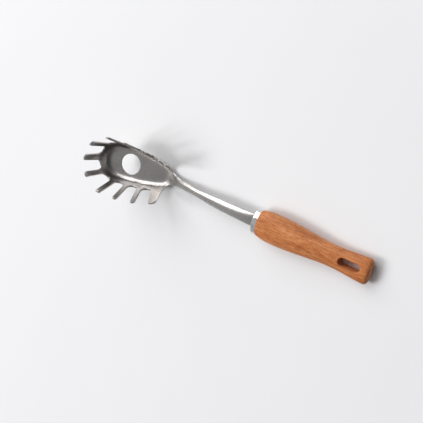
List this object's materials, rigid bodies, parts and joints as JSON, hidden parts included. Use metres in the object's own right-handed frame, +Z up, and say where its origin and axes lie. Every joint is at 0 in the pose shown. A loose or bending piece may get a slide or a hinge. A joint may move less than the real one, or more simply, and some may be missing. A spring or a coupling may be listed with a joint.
{
  "type": "pasta server",
  "caption": "Pasta server: an oval stamped steel dish with upright teeth round its rim and a round portion hole, on a crowned shank with a steel ferrule and a shaped wooden handle.",
  "frame": {"origin": "under the middle of the part's length and width, on the surface that it lies on", "axes": "+X along the length from the dish to the handle's end, +Z up with the dish open upwards, and the XZ plane is the part's mirror plane"},
  "size_m": [0.3297, 0.0658, 0.0626],
  "materials": {
    "satin_steel": "satin polished",
    "polished_steel": "mirror polished",
    "beech": "oiled",
    "resin": "cured, out of sight"
  },
  "bodies": {
    "root": {"head": "satin_steel", "ferrule": "polished_steel", "handle": "beech", "tang_bond": "resin"}
  },
  "joints": []
}
